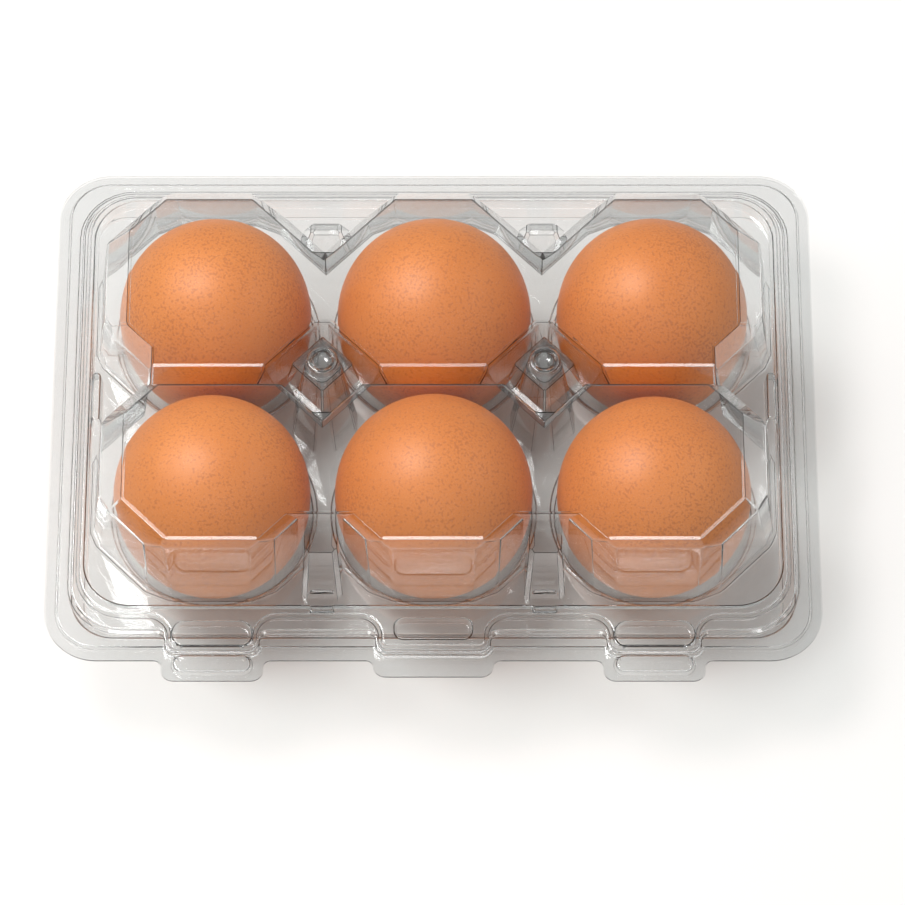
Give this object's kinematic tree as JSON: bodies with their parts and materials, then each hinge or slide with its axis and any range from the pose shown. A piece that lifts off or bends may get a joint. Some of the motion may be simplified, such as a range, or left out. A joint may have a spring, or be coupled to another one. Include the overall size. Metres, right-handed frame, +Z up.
{
  "type": "egg carton with eggs",
  "caption": "Clear moulded plastic egg carton, shut, with faceted domes over brown eggs, a flat rim, snap tabs along the front and a lid that opens on its back edge.",
  "frame": {"origin": "bottom centre of the whole pack: on the ground it stands on, at the middle of its width and of its depth with the front tabs counted in", "axes": "+X along the long side to the right seen from the front, +Y to the back where the lid is hinged, +Z up; the front with the tabs faces -Y"},
  "size_m": [0.175, 0.13, 0.056],
  "materials": {
    "clear_plastic": "thin clear thermoformed PET sheet, smooth and glossy",
    "brown_eggshell": "matt brown hen's eggshell with a soft sheen and fine darker specks"
  },
  "bodies": {
    "tray": {"tray": "clear_plastic", "egg_back_left": "brown_eggshell", "egg_back_middle": "brown_eggshell", "egg_back_right": "brown_eggshell", "egg_front_left": "brown_eggshell", "egg_front_middle": "brown_eggshell", "egg_front_right": "brown_eggshell"},
    "lid": {"lid": "clear_plastic"}
  },
  "joints": [
    {"name": "lid_hinge", "type": "hinge", "parent": "tray", "child": "lid", "pos_m": [0, 0.065, 0.02685], "axis": [-1, 0, 0], "range_deg": [0, 170]}
  ]
}
